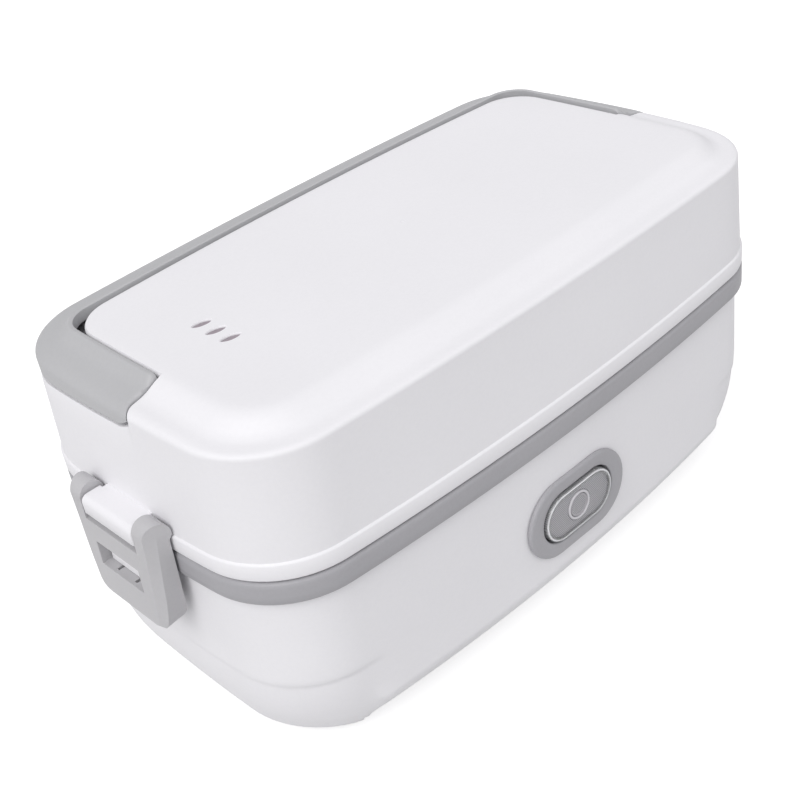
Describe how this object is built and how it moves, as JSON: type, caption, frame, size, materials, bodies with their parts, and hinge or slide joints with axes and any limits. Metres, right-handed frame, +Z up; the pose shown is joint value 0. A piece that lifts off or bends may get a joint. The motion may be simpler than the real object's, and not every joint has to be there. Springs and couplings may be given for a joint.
{
  "type": "electric lunch box",
  "caption": "Heated lunch box with a tall lift-off lid, bail handle, end latches, container, upper tray, push button and a rear power inlet.",
  "frame": {"origin": "on the ground under the middle of the box, level with the feet's undersides", "axes": "+X along the length towards the end without vents, -Y towards the button, +Z up"},
  "size_m": [0.2466, 0.1284, 0.1211],
  "materials": {
    "white_shell": "satin, very fine grain",
    "grey_plastic": "satin",
    "clear_plastic": "clear, lightly frosted",
    "inner_plastic": "matte",
    "rubber": "matte",
    "silicone": "soft, translucent grey",
    "steel": "plain",
    "stainless": "brushed",
    "cover_plastic": "satin",
    "black_plastic": "matte",
    "board": "solder mask",
    "lamp": "clear tinted",
    "brass": "bright",
    "aluminium": "cast",
    "ceramic": "glazed",
    "wire_tin": "sleeved",
    "wire_red": "insulation",
    "wire_blue": "insulation"
  },
  "bodies": {
    "base": {"base_shell": "white_shell", "rim_band": "grey_plastic", "inner_well": "inner_plastic", "bottom_cover": "white_shell", "feet": "rubber", "cover_screws": "steel", "front_bezel": "grey_plastic", "tact_switch": "black_plastic", "switch_board": "board", "indicator_leds": "lamp", "board_screws": "steel", "power_inlet": "black_plastic", "inlet_pins": "brass", "heating_plate": "aluminium", "ptc_heater": "aluminium", "heater_clamp": "steel", "clamp_screws": "steel", "thermostat": "ceramic", "thermal_fuse": "ceramic", "fuse_leads": "wire_tin", "lead_live": "wire_red", "lead_switched": "wire_red", "lead_neutral": "wire_blue"},
    "button": {"power_button": "clear_plastic", "switch_plunger": "black_plastic"},
    "lid": {"lid_shell": "white_shell", "lid_seal": "rubber", "lid_liner": "inner_plastic", "liner_screws": "steel", "latch_pins": "steel"},
    "handle": {"handle": "grey_plastic"},
    "latch_left": {"latch_left": "grey_plastic"},
    "latch_right": {"latch_right": "grey_plastic"},
    "container": {"container": "stainless"},
    "container_cover": {"container_lid": "cover_plastic", "container_seal": "silicone", "steam_plug": "silicone"},
    "tray": {"upper_tray": "cover_plastic"}
  },
  "joints": [
    {"name": "lid_lift", "type": "slide", "parent": "base", "child": "lid", "axis": [0, 0, 1], "range_m": [0, 0.24]},
    {"name": "tray_lift", "type": "slide", "parent": "base", "child": "tray", "axis": [0, 0, 1], "range_m": [0, 0.18]},
    {"name": "cover_lift", "type": "slide", "parent": "base", "child": "container_cover", "axis": [0, 0, 1], "range_m": [0, 0.12]},
    {"name": "container_lift", "type": "slide", "parent": "base", "child": "container", "axis": [0, 0, 1], "range_m": [0, 0.072]},
    {"name": "handle_swing", "type": "hinge", "parent": "lid", "child": "handle", "pos_m": [0, -0.003, 0.1182], "axis": [1, 0, 0], "range_deg": [0, 90]},
    {"name": "latch_left_swing", "type": "hinge", "parent": "lid", "child": "latch_left", "pos_m": [-0.1186, 0, 0.0838], "axis": [0, 1, 0], "range_deg": [0, 100]},
    {"name": "latch_right_swing", "type": "hinge", "parent": "lid", "child": "latch_right", "pos_m": [0.1186, 0, 0.0838], "axis": [0, -1, 0], "range_deg": [0, 100]},
    {"name": "button_press", "type": "slide", "parent": "base", "child": "button", "axis": [0, 1, 0], "range_m": [0, 0.0012], "stiffness_N_per_m": 900, "springref_m": -0.0006}
  ],
  "couplings": [
    {"joint": "tray_lift", "follows": "lid_lift", "ratio": 0.75},
    {"joint": "cover_lift", "follows": "lid_lift", "ratio": 0.5},
    {"joint": "container_lift", "follows": "lid_lift", "ratio": 0.3}
  ]
}
